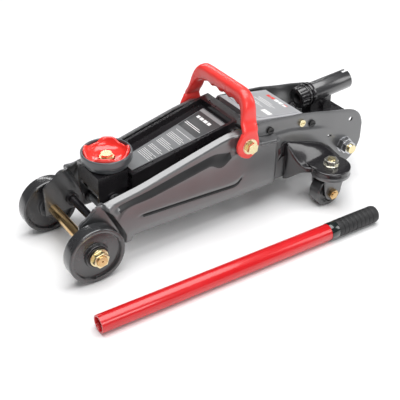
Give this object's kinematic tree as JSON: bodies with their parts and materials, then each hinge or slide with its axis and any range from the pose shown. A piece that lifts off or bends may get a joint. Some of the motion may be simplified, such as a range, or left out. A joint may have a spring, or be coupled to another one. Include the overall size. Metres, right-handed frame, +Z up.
{
  "type": "hydraulic floor jack",
  "caption": "Low trolley jack: stamped side plates on wheels and swivel casters, levelling saddle on a lift arm, hydraulic ram, carry handle and a removable lever.",
  "frame": {"origin": "on the floor, under the middle of the whole set: the jack and the lever that lies beside it", "axes": "+X from the front wheels to the handle end, +Z up; the lever lies on the -Y side"},
  "size_m": [0.4601, 0.2694, 0.1749],
  "materials": {
    "black_paint": "gloss stove enamel",
    "arm_black": "high gloss enamel",
    "cover_grey": "satin paint",
    "yellow_zinc": "yellow zinc plated",
    "axle_copper": "bright, oiled",
    "black_oxide": "black oxide",
    "steel": "zinc plated",
    "ground_steel": "ground and polished",
    "cast_iron": "as cast, painted",
    "wheel_paint": "satin grey-black paint",
    "red_plastic": "semi-gloss moulded",
    "red_paint": "gloss enamel",
    "grip_rubber": "matte, ribbed",
    "collar_black": "gloss"
  },
  "bodies": {
    "chassis": {"side_plate_left": "black_paint", "side_plate_right": "black_paint", "top_cover": "cover_grey", "cover_screws": "yellow_zinc", "front_axle": "axle_copper", "axle_nuts": "yellow_zinc", "axle_washers": "black_oxide", "front_tie_rod": "black_paint", "arm_pivot_shaft": "steel", "pivot_spacers": "steel", "frame_pins": "steel", "caster_bracket_left": "black_paint", "caster_bracket_right": "black_paint", "caster_kingpins": "yellow_zinc", "kingpin_nuts": "yellow_zinc", "power_unit_block": "cast_iron", "reservoir": "cast_iron", "hydraulic_cylinder": "cast_iron", "gland_nut": "cast_iron", "filler_plug": "black_oxide", "unit_bolts": "steel", "pump_barrel": "cast_iron", "yoke_pivot_bolts": "yellow_zinc", "yoke_pivot_nuts": "black_oxide", "yoke_spacers": "steel", "carry_handle_bolts": "yellow_zinc", "return_springs": "steel"},
    "arm": {"lift_arm": "arm_black", "arm_bushes": "axle_copper", "push_roller": "steel", "roller_pin": "steel", "saddle_pin": "steel"},
    "bracket": {"saddle_bracket": "arm_black", "link_pin": "steel", "saddle_bolt": "yellow_zinc"},
    "saddle": {"saddle_cup": "arm_black", "saddle_pad": "red_plastic"},
    "links": {"level_link_left": "arm_black", "level_link_right": "arm_black"},
    "ram_rod": {"ram": "ground_steel", "ram_head": "steel"},
    "valve": {"release_valve": "steel"},
    "plunger": {"pump_plunger": "ground_steel", "pump_spring": "steel"},
    "yoke": {"handle_yoke": "black_paint", "yoke_roller": "steel"},
    "socket": {"handle_socket": "black_paint", "socket_collar": "black_oxide"},
    "bail": {"carry_handle": "red_plastic"},
    "wheel_left": {"front_wheel_left": "wheel_paint"},
    "wheel_right": {"front_wheel_right": "wheel_paint"},
    "fork_left": {"caster_fork_left": "black_paint", "caster_axle_left": "axle_copper"},
    "fork_right": {"caster_fork_right": "black_paint", "caster_axle_right": "axle_copper"},
    "roll_left": {"caster_wheel_left": "wheel_paint"},
    "roll_right": {"caster_wheel_right": "wheel_paint"},
    "lever": {"lever_tube": "red_paint", "lever_collar": "collar_black", "lever_grip": "grip_rubber"}
  },
  "joints": [
    {"name": "arm_lift", "type": "hinge", "parent": "chassis", "child": "arm", "pos_m": [0.02165, 0.02625, 0.11], "axis": [0, 1, 0], "range_deg": [0, 65], "deforming": ["return_springs"]},
    {"name": "saddle_level", "type": "hinge", "parent": "arm", "child": "bracket", "pos_m": [-0.14185, 0.02625, 0.072], "axis": [0, 1, 0], "range_deg": [-65.5, 0.5]},
    {"name": "link_swing", "type": "hinge", "parent": "chassis", "child": "links", "pos_m": [0.01465, 0.02625, 0.091], "axis": [0, 1, 0], "range_deg": [-0.5, 65.5]},
    {"name": "ram_stroke", "type": "slide", "parent": "chassis", "child": "ram_rod", "axis": [-1, 0, 0], "range_m": [-0.0002, 0.0398]},
    {"name": "saddle_turn", "type": "hinge", "parent": "bracket", "child": "saddle", "pos_m": [-0.13545, 0.02625, 0.115], "axis": [0, 0, 1], "continuous": true},
    {"name": "front_wheel_left_roll", "type": "hinge", "parent": "chassis", "child": "wheel_left", "pos_m": [-0.18835, -0.03315, 0.0355], "axis": [0, 1, 0], "continuous": true},
    {"name": "front_wheel_right_roll", "type": "hinge", "parent": "chassis", "child": "wheel_right", "pos_m": [-0.18835, 0.08565, 0.0355], "axis": [0, 1, 0], "continuous": true},
    {"name": "caster_left_swivel", "type": "hinge", "parent": "chassis", "child": "fork_left", "pos_m": [0.13965, -0.05675, 0.047], "axis": [0, 0, 1], "continuous": true},
    {"name": "caster_right_swivel", "type": "hinge", "parent": "chassis", "child": "fork_right", "pos_m": [0.13965, 0.10925, 0.047], "axis": [0, 0, 1], "continuous": true},
    {"name": "caster_left_roll", "type": "hinge", "parent": "fork_left", "child": "roll_left", "pos_m": [0.13365, -0.05675, 0.02], "axis": [0, 1, 0], "continuous": true},
    {"name": "caster_right_roll", "type": "hinge", "parent": "fork_right", "child": "roll_right", "pos_m": [0.13365, 0.10925, 0.02], "axis": [0, 1, 0], "continuous": true},
    {"name": "handle_pump", "type": "hinge", "parent": "chassis", "child": "yoke", "pos_m": [0.19265, 0.02625, 0.05], "axis": [0, 1, 0], "range_deg": [-48, 0]},
    {"name": "pump_stroke", "type": "slide", "parent": "chassis", "child": "plunger", "axis": [1, 0, 0], "range_m": [-0.0002, 0.017], "deforming": ["pump_spring"]},
    {"name": "socket_twist", "type": "hinge", "parent": "yoke", "child": "socket", "pos_m": [0.18764, 0.02625, 0.1136], "axis": [0.9969, 0, 0.0785], "range_deg": [0, 120]},
    {"name": "release_turn", "type": "hinge", "parent": "chassis", "child": "valve", "pos_m": [0.12365, 0.00425, 0.036], "axis": [1, 0, 0], "range_deg": [-1, 121]},
    {"name": "carry_handle_fold", "type": "hinge", "parent": "chassis", "child": "bail", "pos_m": [0.02165, 0.02625, 0.11], "axis": [0, 1, 0], "range_deg": [-8, 58]},
    {"name": "lever_lift_off", "type": "slide", "parent": "chassis", "child": "lever", "axis": [0, 0, 1], "range_m": [0, 0.25]}
  ],
  "couplings": [
    {"joint": "saddle_level", "follows": "arm_lift", "ratio": -1},
    {"joint": "link_swing", "follows": "arm_lift", "ratio": 1},
    {"joint": "ram_stroke", "follows": "arm_lift", "m_per_rad": 0.03487},
    {"joint": "pump_stroke", "follows": "handle_pump", "m_per_rad": -0.02},
    {"joint": "release_turn", "follows": "socket_twist", "ratio": 1}
  ]
}
